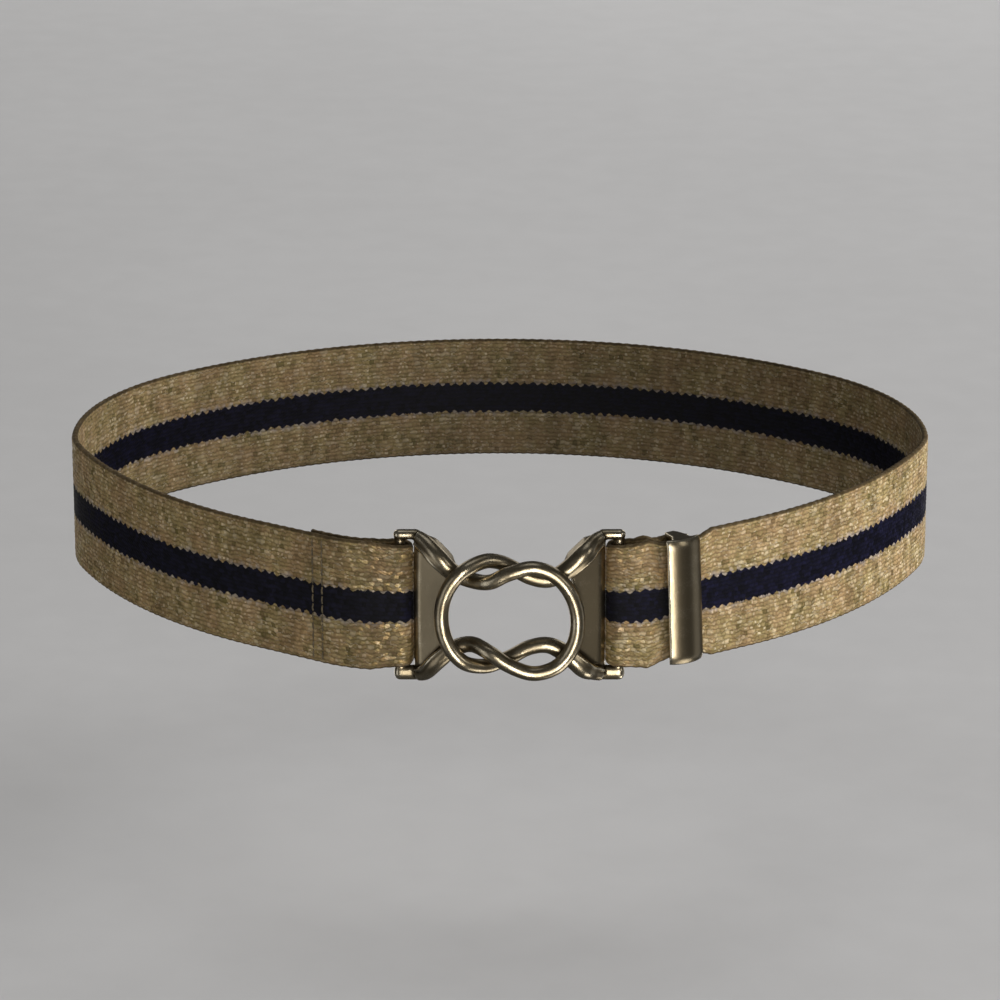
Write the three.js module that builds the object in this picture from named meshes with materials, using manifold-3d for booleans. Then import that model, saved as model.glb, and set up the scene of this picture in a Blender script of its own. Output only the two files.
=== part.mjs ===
// Stretch belt with a knot clasp, closed as it is worn. Millimetres, +Z up.
// The origin is the middle of the waist opening, half way up the strap. The clasp faces -Y.

import * as THREE from 'three';
import { mergeVertices } from 'three/addons/utils/BufferGeometryUtils.js';
import Module from 'manifold-3d';

const wasm = await Module();
wasm.setup();

// Webbing
const strapWidth = 36;
const strapThickness = 1.8;
const clearance = 0.3;
const strapStep = 4; // longest step of the ribbon along the belt
const tailLength = 26; // sewn end behind the left half of the clasp
const seamWidth = 3;
const seamInset = 2; // the seam stops this far from the webbing's edges
const seamFromEnd = 2; // and lies this far from the sewn end's cut edge
const foldEase = 11; // length in which a folded layer comes to lie flat
const sliderDrawIn = { depth: 2.2, radius: 22 }; // how the edges draw in to pass the slider
const foldDrawIn = { depth: 0.9, radius: 34 }; // and where the webbing folds round a bar

// Line of the webbing seen from above, front middle to back middle, as tangent runs and arcs
const frontY = -85;
const halfLine = [
  { part: 'front', length: 31 },
  { part: 'shoulder', radius: 29, turn: 33 },
  { part: 'flank', length: 22.4 },
  { part: 'hip', radius: 133, turn: 35 },
  { part: 'side', radius: 37, turn: 22 },
  { part: 'rear corner', radius: 70, turn: 50 },
];

// Clasp: u runs to the right from its middle, w up, v out of the front of the webbing
const claspX = 2.5;
const wireDiameter = 4;
const barDiameter = 3;
const endDiameter = 2.8;
const endRoom = 0.5; // between an end piece and the webbing's edge, before the clasp drops
const barU = 28.9;
const endInnerU = 23.8; // the end pieces over and under the webbing reach in to here
const endOuterU = 30.6;
const endV = -2.2;
const knotV = 6; // middle plane of the knot in front of the webbing
const claspDrop = 0.7; // the clasp hangs this low in the webbing's folds
const leftSag = -0.4; // the hooked loops hang and turn a little between the bars
const leftTilt = -3.2; // degrees
const rightSag = 0.1;
const rightTilt = 0.6;
const passLift = 2.2; // half the distance between two wires that cross
const eyeCentreU = 6.2; // each loop ends in half an ellipse
const eyeRadiusU = 11.7;
const eyeRadiusW = 14.7;
const webThickness = 1.4;
const webV = -0.5; // at its outer edge; it rises to the arms' necks
const webSlope = 18; // degrees
const webInnerU = 17.6;
const webOuterU = 24.9;
const webInArm = 0.6; // how deep its two slanted edges run into the arms
const wallThickness = 3.2; // each arm is the rim of a wall that stands as deep as the fold
const wallFront = 1.2;
const wallBack = -4.4;
const wireSides = 12;
const wireSteps = 80;
const barSides = 16;

// Slider
const sliderX = 47.8;
const sliderWidth = 10.6;
const throatHeight = 32.6; // the webbing draws in to pass through
const sliderEnd = 1.3;
const sliderEndWidth = 6;
const plateEdge = 0.9;
const plateDome = 1.7;
const plateRoom = 0.6; // room between the plate and the curved webbing
const plateLean = 2.5; // degrees, the top to the left
const backBarDiameter = 2.4;
const sliderTail = 13; // sewn end past the slider's bar
const sliderFoldEase = 9;

const half = strapThickness / 2;
const endW = strapWidth / 2 - foldDrawIn.depth + endRoom + claspDrop + endDiameter / 2;
const layerPitch = strapThickness + clearance;
const barWrap = barDiameter / 2 + clearance + half;
const backBarWrap = backBarDiameter / 2 + clearance + half;

// The plan line

const radians = THREE.MathUtils.degToRad;

function lineParts() {
  const parts = [];
  let x = 0;
  let y = frontY;
  let heading = 0;
  let start = 0;
  const add = (length, radius) => {
    parts.push({ x, y, heading, start, length, radius });
    const end = alongPart(parts.at(-1), length);
    ({ x, y, heading } = end);
    start += length;
  };
  for (const { length, radius, turn } of halfLine) {
    add(length ?? radius * radians(turn), radius ?? Infinity);
  }
  // The back arc runs on to X = 0, where it heads straight across
  add((Math.PI - heading) * (x / Math.sin(heading)), x / Math.sin(heading));
  return parts;
}

function alongPart({ x, y, heading, radius }, distance) {
  if (radius === Infinity) {
    return { x: x + distance * Math.cos(heading), y: y + distance * Math.sin(heading), heading };
  }
  const turned = heading + distance / radius;
  return {
    x: x + radius * (Math.sin(turned) - Math.sin(heading)),
    y: y + radius * (Math.cos(heading) - Math.cos(turned)),
    heading: turned,
  };
}

const line = lineParts();
const halfGirth = line.at(-1).start + line.at(-1).length;

// Place and heading on the plan line, s millimetres from the front middle, right side positive
function onLine(s) {
  const distance = Math.abs(s);
  const part = line.findLast((candidate) => candidate.start <= distance + 1e-9);
  const { x, y, heading } = alongPart(part, distance - part.start);
  return s < 0 ? { x: -x, y, heading: -heading } : { x, y, heading };
}

// A point that lies `out` millimetres outside the plan line at s
function besideLine(s, out) {
  const { x, y, heading } = onLine(s);
  return new THREE.Vector2(x + out * Math.sin(heading), y - out * Math.cos(heading));
}

function lineAtX(x) {
  let low = 0;
  let high = halfGirth / 2;
  while (high - low > 1e-6) {
    const middle = (low + high) / 2;
    if (onLine(middle).x < x) low = middle;
    else high = middle;
  }
  return low;
}

const leftBarS = claspX - barU;
const rightBarS = lineAtX(claspX + barU);
const sliderS = lineAtX(sliderX);

// Joining solids

function toSolid(geometry) {
  const bare = geometry.clone();
  bare.deleteAttribute('normal');
  bare.deleteAttribute('uv');
  const merged = mergeVertices(bare, 1e-4);
  return new wasm.Manifold(new wasm.Mesh({
    numProp: 3,
    vertProperties: new Float32Array(merged.attributes.position.array),
    triVerts: new Uint32Array(merged.index.array),
  }));
}

function toGeometry(solid) {
  const { vertProperties, triVerts } = solid.getMesh();
  const geometry = new THREE.BufferGeometry();
  geometry.setAttribute('position', new THREE.BufferAttribute(new Float32Array(vertProperties), 3));
  geometry.setIndex(new THREE.BufferAttribute(new Uint32Array(triVerts), 1));
  geometry.computeVertexNormals();
  return geometry;
}

function united(geometries) {
  return geometries.map(toSolid).reduce((whole, piece) => whole.add(piece));
}

function joined(geometries) {
  return toGeometry(united(geometries));
}

// Strap

// How far a layer behind the webbing lies from it, easing from a bar's far side to the flat lay
function innerLayer(fromBar, barDepth, layDepth, easeLength) {
  const t = THREE.MathUtils.smoothstep(fromBar, 0, easeLength);
  return -THREE.MathUtils.lerp(barDepth, layDepth, t);
}

// Half turn of the ribbon round a bar whose middle lies `depth` behind the line at s
function foldPoints(s, depth, radius, side) {
  const steps = 10;
  const points = [];
  for (let k = 1; k < steps; k++) {
    const angle = Math.PI * (k / steps);
    points.push(besideLine(s + side * radius * Math.sin(angle), -depth + radius * Math.cos(angle)));
  }
  return points;
}

function strapCentreLine() {
  const points = [];

  // Sewn end behind the left, up to the left bar
  const tailSteps = 9;
  for (let k = 0; k <= tailSteps; k++) {
    const fromBar = tailLength * (1 - k / tailSteps);
    const out = innerLayer(fromBar, 2 * barWrap, layerPitch, foldEase);
    points.push(besideLine(leftBarS - fromBar, out));
  }
  points.push(...foldPoints(leftBarS, barWrap, barWrap, 1).reverse());

  // All the way round on the outside, from the left bar to the right bar
  const girth = 2 * halfGirth - (rightBarS - leftBarS);
  const steps = Math.ceil(girth / strapStep);
  for (let k = 0; k <= steps; k++) {
    const s = leftBarS - girth * (k / steps);
    points.push(besideLine(s < -halfGirth ? s + 2 * halfGirth : s, 0));
  }
  points.push(...foldPoints(rightBarS, barWrap, barWrap, -1));

  // Back behind the outside layer to the slider's bar
  const backSteps = 8;
  for (let k = 0; k <= backSteps; k++) {
    const fromBar = (sliderS - rightBarS) * (k / backSteps);
    const out = innerLayer(fromBar, 2 * barWrap, layerPitch, foldEase);
    points.push(besideLine(rightBarS + fromBar, out));
  }
  const backBarDepth = layerPitch + backBarWrap;
  points.push(...foldPoints(sliderS, backBarDepth, backBarWrap, 1));
  const endSteps = 7;
  for (let k = 0; k <= endSteps; k++) {
    const fromBar = sliderTail * (k / endSteps);
    const out = innerLayer(fromBar, layerPitch + 2 * backBarWrap, 2 * layerPitch, sliderFoldEase);
    points.push(besideLine(sliderS - fromBar, out));
  }
  return points;
}

// The closed outline of a ribbon of the webbing's thickness along a centre line
function ribbonShape(points) {
  const outer = [];
  const inner = [];
  points.forEach((point, k) => {
    const before = points[Math.max(k - 1, 0)];
    const after = points[Math.min(k + 1, points.length - 1)];
    const side = after.clone().sub(before).normalize().multiplyScalar(half);
    outer.push(new THREE.Vector2(point.x - side.y, point.y + side.x));
    inner.unshift(new THREE.Vector2(point.x + side.y, point.y - side.x));
  });
  return new THREE.Shape([...outer, ...inner]);
}

// Row of stitches that joins a sewn end to the layer in front of it, `out` outside the line
function seamBlock(s, out) {
  const { heading } = onLine(s);
  const middle = besideLine(s, out);
  const block = new THREE.BoxGeometry(seamWidth, clearance + half, strapWidth - 2 * seamInset);
  block.rotateZ(heading);
  block.translate(middle.x, middle.y, 0);
  return block;
}

function strapGeometry() {
  const ribbon = new THREE.ExtrudeGeometry(ribbonShape(strapCentreLine()), {
    depth: strapWidth,
    bevelEnabled: false,
    steps: 1,
  });
  ribbon.translate(0, 0, -strapWidth / 2);
  const fromEnd = seamFromEnd + seamWidth / 2;
  const leftSeam = seamBlock(leftBarS - tailLength + fromEnd, -layerPitch / 2);
  const sliderSeam = seamBlock(sliderS - sliderTail + fromEnd, -1.5 * layerPitch);
  const whole = united([ribbon, leftSeam, sliderSeam]);
  const cutters = [
    edgeDrums(sliderS, sliderDrawIn),
    edgeDrums(leftBarS, foldDrawIn),
    edgeDrums(rightBarS, foldDrawIn),
  ].flat();
  return toGeometry(cutters.reduce((rest, drum) => rest.subtract(toSolid(drum)), whole));
}

// Two drums that draw the webbing's edges in at s, their axes across the layers
function edgeDrums(s, { depth, radius }) {
  const { x, y, heading } = onLine(s);
  const acrossLayers = 24;
  const drumSides = 180;
  return [-1, 1].map((side) => {
    const drum = new THREE.CylinderGeometry(radius, radius, acrossLayers, drumSides);
    drum.translate(0, 0, side * (strapWidth / 2 - depth + radius));
    drum.rotateZ(heading);
    drum.translate(x, y, 0);
    return drum;
  });
}

// Clasp

// Wire of each half from its upper arm to the far end of its loop, above the middle of the knot and
// drawn with its bar on the left. pass is the wire's level, -1 behind and +1 in front of a wire that
// it crosses. The left half lies in front where the two cross in the middle.
const bend = (degrees, pass) => ({
  u: eyeCentreU + eyeRadiusU * Math.cos(radians(degrees)),
  w: eyeRadiusW * Math.sin(radians(degrees)),
  pass,
});
const leftWire = [
  { u: -19, w: 14.8, pass: -1.5 },
  { u: -14.9, w: 10.8, pass: -1.15 },
  { u: -10.2, w: 9, pass: -0.9 },
  { u: -5.2, w: 9.9, pass: 0.7 },
  { u: -0.4, w: 12.7, pass: 1.1 },
  bend(90, 1.1),
  bend(62, 1.05),
  bend(40, 1),
  bend(20, 0.95),
  bend(0, 0.9),
];
const rightWire = [
  { u: -19.7, w: 16.2, pass: -1.5 },
  { u: -15.3, w: 12, pass: -1.15 },
  { u: -10.2, w: 9.2, pass: -1 },
  { u: -5.2, w: 9.9, pass: -1 },
  { u: -0.4, w: 12.6, pass: -1.05 },
  { u: 2.8, w: 14, pass: -0.95 },
  bend(90, -0.35),
  bend(62, 0.85),
  bend(40, 1.05),
  bend(20, 1),
  bend(0, 0.9),
];

// Each arm leaves its end piece forward and inward
const armFoot = [
  { u: -endInnerU - 0.5, w: endW - 0.1, v: endV + 0.8 },
  { u: -endInnerU + 1.6, w: endW - 1.3, v: endV + 2.3 },
];

const leftHalf = { side: -1, wire: leftWire, sag: leftSag, tilt: leftTilt };
const rightHalf = { side: 1, wire: rightWire, sag: rightSag, tilt: rightTilt };

// Points from the upper (1) or lower (-1) end piece along its arm to the loop's end; side is -1 for
// the left half
function armPoints({ side, wire, sag, tilt }, arm) {
  const foot = armFoot.map(({ u, w, v }) => ({ u, w: arm * w, v }));
  const rest = wire.map(({ u, w, pass }) => (
    { u, w: sag + u * Math.tan(radians(tilt)) + arm * w, v: knotV + passLift * pass }));
  return [...foot, ...rest]
    .map(({ u, w, v }) => new THREE.Vector3(claspX - side * u, frontY - v, w - claspDrop));
}

function wirePoints(claspHalf) {
  return [...armPoints(claspHalf, 1), ...armPoints(claspHalf, -1).reverse().slice(1)];
}

// Wall behind an arm, from its foot to its neck: a band along the arm, seen from the front
function wallGeometry(claspHalf, arm) {
  const middle = armPoints(claspHalf, arm).slice(1, 4).map(({ x, z }) => new THREE.Vector2(x, z));
  const edges = middle.map((point, k) => {
    const before = middle[Math.max(k - 1, 0)];
    const after = middle[Math.min(k + 1, middle.length - 1)];
    const { x, y } = after.clone().sub(before).normalize().multiplyScalar(wallThickness / 2);
    return [new THREE.Vector2(point.x - y, point.y + x), new THREE.Vector2(point.x + y, point.y - x)];
  });
  const band = new THREE.Shape([...edges.map(([left]) => left), ...edges.map(([, right]) => right).reverse()]);
  const wall = new THREE.ExtrudeGeometry(band, { depth: wallFront - wallBack, bevelEnabled: false, steps: 1 });
  wall.rotateX(Math.PI / 2);
  wall.translate(0, frontY - wallBack, 0);
  return wall;
}

function wireGeometry(points) {
  const section = new THREE.Shape();
  section.absarc(0, 0, wireDiameter / 2, 0, 2 * Math.PI, false);
  return new THREE.ExtrudeGeometry(section, {
    extrudePath: new THREE.CatmullRomCurve3(points, false, 'centripetal'),
    steps: wireSteps,
    curveSegments: wireSides / 2, // each stands for two sides of a full circle
    bevelEnabled: false,
  });
}

function uprightBar(diameter, length, x, y, z) {
  const bar = new THREE.CylinderGeometry(diameter / 2, diameter / 2, length, barSides);
  bar.rotateX(Math.PI / 2);
  bar.translate(x, y, z);
  return bar;
}

// Piece that joins an arm to its bar over or under the webbing
function endPiece(side, z) {
  const length = endOuterU - endInnerU;
  const piece = new THREE.CylinderGeometry(endDiameter / 2, endDiameter / 2, length, barSides);
  piece.rotateZ(Math.PI / 2);
  piece.translate(claspX + side * (endInnerU + endOuterU) / 2, frontY - endV, z);
  return piece;
}

// Thin recessed plate that fills the fan between the two arms of a half
function webGeometry({ side, wire, sag }) {
  const outerW = endW - webInArm;
  const innerW = (wire[0].w + wire[1].w) / 2 + webInArm;
  const fan = new THREE.Shape();
  const reach = side * (webInnerU - webOuterU);
  fan.moveTo(reach, sag - innerW);
  fan.lineTo(0, -outerW);
  fan.lineTo(0, outerW);
  fan.lineTo(reach, sag + innerW);
  const web = new THREE.ExtrudeGeometry(fan, { depth: webThickness, bevelEnabled: false, steps: 1 });
  web.rotateX(Math.PI / 2);
  web.translate(0, webThickness / 2, 0);
  web.rotateZ(side * radians(webSlope));
  web.translate(claspX + side * webOuterU, frontY - webV, -claspDrop);
  return web;
}

function claspHalfGeometry(claspHalf) {
  const { side } = claspHalf;
  return joined([
    wireGeometry(wirePoints(claspHalf)),
    wallGeometry(claspHalf, 1),
    wallGeometry(claspHalf, -1),
    uprightBar(barDiameter, 2 * endW, claspX + side * barU, frontY + barWrap, -claspDrop),
    endPiece(side, endW - claspDrop),
    endPiece(side, -endW - claspDrop),
    webGeometry(claspHalf),
  ]);
}

// Slider

// Box in the slider's own directions: along the belt, inward, and up
function sliderBlock(width, from, to, height, z) {
  const block = new THREE.BoxGeometry(width, to - from, height);
  block.translate(0, (from + to) / 2, z);
  return block;
}

function sliderGeometry() {
  const plateBack = -(half + plateRoom);
  const barMiddle = layerPitch + backBarWrap;
  const barBack = barMiddle + backBarDiameter / 2;
  const height = throatHeight + 2 * sliderEnd;

  // Front plate: flat behind, straight short edges, and a round dome in front
  const halfWidth = sliderWidth / 2;
  const domeRadius = (halfWidth ** 2 + plateDome ** 2) / (2 * plateDome);
  const domeAngle = Math.asin(halfWidth / domeRadius);
  const edgeY = plateBack - plateEdge;
  const section = new THREE.Shape();
  section.moveTo(halfWidth, plateBack);
  section.lineTo(-halfWidth, plateBack);
  section.lineTo(-halfWidth, edgeY);
  section.absarc(0, edgeY - plateDome + domeRadius, domeRadius,
    -Math.PI / 2 - domeAngle, -Math.PI / 2 + domeAngle, false);
  const plate = new THREE.ExtrudeGeometry(section, {
    depth: height,
    bevelEnabled: false,
    steps: 1,
    curveSegments: 10,
  });
  plate.translate(0, 0, -height / 2);
  plate.rotateY(-radians(plateLean));

  const endZ = height / 2 - sliderEnd / 2;
  const endFront = plateBack - plateEdge / 2;
  const slider = joined([
    plate,
    uprightBar(backBarDiameter, height - sliderEnd, 0, barMiddle, 0),
    sliderBlock(sliderEndWidth, endFront, barBack, sliderEnd, endZ),
    sliderBlock(sliderEndWidth, endFront, barBack, sliderEnd, -endZ),
  ]);
  const { x, y, heading } = onLine(sliderS);
  slider.rotateZ(heading);
  slider.translate(x, y, 0);
  return slider;
}

// Assembly

const webbing = new THREE.MeshStandardMaterial({ color: 0xa48c5c, roughness: 0.8, metalness: 0.15 });
const antiqueBrass = new THREE.MeshStandardMaterial({ color: 0x7a6c50, roughness: 0.38, metalness: 1 });

function node(name, geometry, material) {
  const mesh = new THREE.Mesh(geometry, material);
  mesh.name = name;
  return mesh;
}

const belt = new THREE.Group();
belt.add(node('strap', strapGeometry(), webbing));
belt.add(node('clasp_half_left', claspHalfGeometry(leftHalf), antiqueBrass));
belt.add(node('clasp_half_right', claspHalfGeometry(rightHalf), antiqueBrass));
belt.add(node('slider', sliderGeometry(), antiqueBrass));

export default belt;
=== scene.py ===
"""Looks of a stretch belt with a knot clasp, closed as it is worn. Metres, +Z up, the clasp faces -Y.

The webbing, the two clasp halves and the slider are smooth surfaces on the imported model's own lines.
"""

import math

import bpy
import numpy as np
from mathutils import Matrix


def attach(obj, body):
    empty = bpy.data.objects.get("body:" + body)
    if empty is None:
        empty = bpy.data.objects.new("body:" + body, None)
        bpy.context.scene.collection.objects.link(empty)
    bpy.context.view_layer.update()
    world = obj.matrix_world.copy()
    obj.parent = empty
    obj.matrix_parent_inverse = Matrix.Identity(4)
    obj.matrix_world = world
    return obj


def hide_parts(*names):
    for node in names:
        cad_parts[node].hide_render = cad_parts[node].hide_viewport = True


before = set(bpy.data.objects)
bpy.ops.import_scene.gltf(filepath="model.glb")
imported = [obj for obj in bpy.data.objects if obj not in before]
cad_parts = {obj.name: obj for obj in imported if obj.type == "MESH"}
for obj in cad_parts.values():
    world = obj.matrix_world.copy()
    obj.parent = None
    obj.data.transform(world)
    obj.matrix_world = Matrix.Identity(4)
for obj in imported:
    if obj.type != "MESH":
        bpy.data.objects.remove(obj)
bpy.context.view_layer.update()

MM = 0.001

# Webbing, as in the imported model
STRAP_WIDTH = 36 * MM
STRAP_THICKNESS = 1.8 * MM
CLEARANCE = 0.3 * MM
TAIL_LENGTH = 26 * MM
SEAM_FROM_END = 3.5 * MM
FOLD_EASE = 11 * MM
SLIDER_DRAW_IN = (2.2 * MM, 22 * MM)  # depth and radius
FOLD_DRAW_IN = (0.9 * MM, 34 * MM)
FOLD_ROUNDING = 1.0 * MM  # the corners round off further where the webbing turns round a bar
FRONT_Y = -85 * MM
HALF_LINE = (  # run, length or radius, turn in degrees
    ("front", 31 * MM, 0),
    ("shoulder", 29 * MM, 33),
    ("flank", 22.4 * MM, 0),
    ("hip", 133 * MM, 35),
    ("side", 37 * MM, 22),
    ("rear corner", 70 * MM, 50),
)
BAR_HANG = 0.4 * MM  # the webbing hangs lower at the bars, with the clasp's weight
BAR_HANG_REACH = 12 * MM

# Weave
GRAIN_LENGTH = 1.3 * MM  # one raised grain of the weave
GRAIN_WIDTH = 1.2 * MM
GRAIN_HEIGHT = 0.22 * MM
GRAIN_SEED = 7
STRIPE_RELIEF = 0.6  # the weave of the stripe is lower, by this factor
ALONG_STEP = GRAIN_LENGTH / 2
ACROSS_STEP = GRAIN_WIDTH / 2
FACE_STEPS = 29  # steps across the face, each side of the middle
REVERSE_STEP = 2.4 * MM
REVERSE_STEPS = 7
EDGE_ROUND = 0.2 * MM  # this far inside its edge the webbing has EDGE_SHARE of its thickness
EDGE_SHARE = 0.72
SELVEDGE = 17.1 * MM
SELVEDGE_BLUR = 0.5 * MM
STRIPE_HALF = 4.0 * MM
TOOTH_LENGTH = 2.6 * MM
TOOTH_DEPTH = 0.85 * MM
SCALLOP = 0.08 * MM
WANDER = 1.1  # how far a row or grain strays, in its own widths
WANDER_SCALE = 420.0
TWIST_ANGLE = 62

# Stitches
SEAM_WIDTH = 3 * MM
STITCH_PITCH = 2.6 * MM
STITCH_LENGTH = 2.1 * MM
STITCH_RADIUS = 0.24 * MM
STITCH_RISE = 0.34 * MM
STITCH_SINK = 0.16 * MM  # its ends lie this deep in the webbing
STITCHES_EACH_SIDE = 6  # of the middle one in a row

# Clasp
CLASP_X = 2.5 * MM
BAR_RADIUS = 1.5 * MM
END_RADIUS = 1.4 * MM
END_ROOM = 0.5 * MM
END_TALL = {1: 1.0, -1: 1.5}  # the lower end piece is taller, up to the webbing's edge
END_SHIFT = {1: 0.0, -1: 0.6 * MM}
CLASP_DROP = 0.7 * MM
BAR_U = 28.9 * MM
END_INNER_U = 23.8 * MM
END_OUTER_U = 30.6 * MM
END_V = -2.2 * MM
END_IN_ARM = 0.6 * MM
KNOT_V = 6 * MM
PASS_LIFT = 2.2 * MM
EYE_CENTRE_U = 6.2
EYE_RADIUS_U = 11.7
EYE_RADIUS_W = 14.7
WEB_THICKNESS = 1.4 * MM
WEB_V = -0.5 * MM
WEB_SLOPE = 18
WEB_INNER_U = 17.6 * MM
WEB_OUTER_U = 24.9 * MM
WEB_IN_ARM = 0.6 * MM
WEB_REACH = 1.2  # it runs on behind the other half's loop, as a share of its packed width
WEB_HOLLOW = 0.2  # and further beside the arms, as the loop curves away
WEB_DISH = 0.35 * MM
WEB_LIP = 0.9 * MM  # its free edges curl back this far
WEB_CURL = 0.16  # over this share of its packed width
WALL_THICKNESS = 3.2 * MM  # of the wall behind each arm
WALL_FRONT = 1.2 * MM
WALL_BACK = -4.4 * MM
WALL_THINNING = 0.6  # share of its thickness that it loses where it runs out
RIM_RADIUS = 0.85 * MM  # of the bead along an arm's edge beside the web
RIM_OFFSET = 2.0 * MM
RIM_LIFT = 1.1 * MM
ARM_POINTS = 40  # of an arm's line, foot to neck
WALL_POINTS = 34  # of these, before the neck, that carry the wall
CLASP_VOXEL = 0.26 * MM  # grain of the melted casting
CLASP_SMOOTHING = 11

# Slider
SLIDER_X = 47.8 * MM
SLIDER_WIDTH = 10.6 * MM
THROAT_HEIGHT = 32.6 * MM
SLIDER_END = 1.3 * MM
SLIDER_END_WIDTH = 6 * MM
PLATE_EDGE = 0.9 * MM
PLATE_DOME = 1.7 * MM
PLATE_ROOM = 0.6 * MM
PLATE_LEAN = 2.5
PLATE_TURN = (2.6 * MM, 0.8 * MM)  # reach and depth of the turned-back top and bottom of the plate
BACK_BAR_RADIUS = 1.2 * MM
SLIDER_TAIL = 13 * MM
SLIDER_FOLD_EASE = 9 * MM
SLIDER_END_SLOPE = 0.5 * MM  # the ends close in this far towards the back bar
SLIDER_VOXEL = 0.2 * MM
SLIDER_SMOOTHING = 14

HALF = STRAP_THICKNESS / 2
END_W = STRAP_WIDTH / 2 - FOLD_DRAW_IN[0] + END_ROOM + CLASP_DROP + END_RADIUS
LAYER_PITCH = STRAP_THICKNESS + CLEARANCE
BAR_WRAP = BAR_RADIUS + CLEARANCE + HALF
BACK_BAR_WRAP = BACK_BAR_RADIUS + CLEARANCE + HALF

# Wear of the metal, and painted shade in its inner corners, both from its curvature
WEAR_PER_BEND = 0.9 * MM
WEAR_MOST = 0.9
WEAR_SPREAD = 9  # times that the curvature is averaged

# Camera and room
VIEW_DISTANCE = 1350 * MM
VIEW_ELEVATION = 19
FOCAL_LENGTH = 173.3  # millimetres on a sensor 36 millimetres wide
FLOOR_Z = -120 * MM
FLOOR_HALF_SIZE = 4.0
PANEL_ENERGY = 4  # watts for a square metre of panel of brightness 1
LIGHTS = (  # name, azimuth, elevation, distance, width and height in metres, brightness, colour
    ("side_key", 78, 14, 3.4, (1.5, 1.5), 13.1, (1, 0.99, 1)),
    ("front_fill", -30, 8, 2.0, (1.0, 1.0), 0.7, (1, 0.97, 0.82)),
    ("top", 0, 76, 1.8, (1.6, 1.2), 1.4, (1, 1, 1)),
    ("rear_fill", 175, 25, 2.0, (1.0, 1.4), 1.8, (1, 1, 1)),
)
CREAM = (1, 0.95, 0.86)
METAL_PANELS = (  # the same, for panels that only the metal reflects
    ("front_panel", 7, -9, 1.3, (0.28, 0.9), 11.5, CREAM),
    ("right_panel", 50, 20, 1.3, (0.3, 0.4), 2.2, CREAM),
    ("low_right_panel", 62, -56, 1.3, (0.7, 0.5), 2.6, CREAM),
    ("top_panel", 0, 84, 1.3, (0.7, 0.7), 0.5, (1, 1, 1)),
    ("left_panel", -50, -8, 1.3, (0.6, 1.2), 0.75, (1, 1, 1)),
    ("right_side_panel", 95, -15, 1.3, (0.6, 1.2), 0.28, (1, 1, 1)),
    ("rear_panel_left", -152, 0, 1.3, (0.4, 1.6), 1.2, CREAM),
    ("rear_panel_right", 150, 0, 1.3, (0.4, 1.6), 1.2, CREAM),
)
WORLD_COLOUR = (0.9, 0.88, 0.85)
WORLD_STRENGTH = 0.08

# Colours of the surfaces
GOLD_DEEP = (0.27, 0.2, 0.07)
GOLD_PALE = (0.58, 0.45, 0.22)
GOLD_CREAM = (0.66, 0.54, 0.32)
GOLD_BRIGHT = (0.74, 0.62, 0.4)
OLIVE = (0.2, 0.16, 0.055)
COPPER = (0.52, 0.29, 0.17)
FLECK = (0.5, 0.45, 0.44)
# painted shade: the dark brown laid along the webbing's edges
SELVEDGE_SHADE_BROWN = (0.07, 0.048, 0.024)
NAVY_DEEP = (0.002, 0.002, 0.006)
NAVY_PALE = (0.008, 0.008, 0.027)
THREAD_DEEP = (0.1, 0.075, 0.035)
THREAD_PALE = (0.24, 0.18, 0.09)
PATINA = (0.24, 0.2, 0.135)
BARE_METAL = (0.68, 0.62, 0.49)
# darker brown of the inner corners: partly patina, partly painted shade
CORNER_PATINA_AND_SHADE = (0.07, 0.055, 0.035)
FLOOR_GREY = (0.6, 0.595, 0.59)
FLOOR_PALE = (0.64, 0.635, 0.63)


# The plan line

def plan_runs():
    """Start, x, y, heading and curvature of each run of half the belt, front middle to back middle.

    A straight run has a curvature near nought; the last run closes the line at X = 0.
    """
    straight = 1e-6
    rows = []
    x, y, heading, start = 0.0, FRONT_Y, 0.0, 0.0
    for _, size, turn in HALF_LINE:
        curvature = 1 / size if turn else straight
        length = size * math.radians(turn) if turn else size
        rows.append((start, x, y, heading, curvature))
        turned = heading + curvature * length
        x += (math.sin(turned) - math.sin(heading)) / curvature
        y += (math.cos(heading) - math.cos(turned)) / curvature
        heading, start = turned, start + length
    back_radius = x / math.sin(heading)
    rows.append((start, x, y, heading, 1 / back_radius))
    return np.array(rows), start + (math.pi - heading) * back_radius


PLAN, HALF_GIRTH = plan_runs()


def on_line(s):
    """Place and heading s from the front middle, the right side positive.

    In a run of curvature k the heading is h + k t, and the place adds (sin, -cos) of it over k.
    """
    s = np.asarray(s, float)
    distance = np.abs(s)
    run = np.clip(np.searchsorted(PLAN[:, 0], distance, side="right") - 1, 0, None)
    start, x, y, heading, curvature = np.moveaxis(PLAN[run], -1, 0)
    turned = heading + curvature * (distance - start)
    x = x + (np.sin(turned) - np.sin(heading)) / curvature
    y = y + (np.cos(heading) - np.cos(turned)) / curvature
    side = np.where(s < 0, -1.0, 1.0)
    return side * x, y, side * turned


def beside_line(s, out):
    """The point `out` outside the plan line at s: the place plus out times (sin, -cos) of the heading."""
    x, y, heading = on_line(s)
    return np.stack([x + out * np.sin(heading), y - out * np.cos(heading)], axis=-1)


def line_at_x(x):
    s = np.linspace(0, HALF_GIRTH / 2, 20001)
    return float(np.interp(x, on_line(s)[0], s))


LEFT_BAR_S = CLASP_X - BAR_U
RIGHT_BAR_S = line_at_x(CLASP_X + BAR_U)
SLIDER_S = line_at_x(SLIDER_X)


# Meshes

def new_object(name, vertices, faces, smooth=True):
    mesh = bpy.data.meshes.new(name)
    mesh.from_pydata(np.asarray(vertices).tolist(), [], faces)
    mesh.update()
    if smooth:
        mesh.polygons.foreach_set("use_smooth", np.ones(len(mesh.polygons), bool))
    obj = bpy.data.objects.new(name, mesh)
    bpy.context.scene.collection.objects.link(obj)
    return obj


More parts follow.
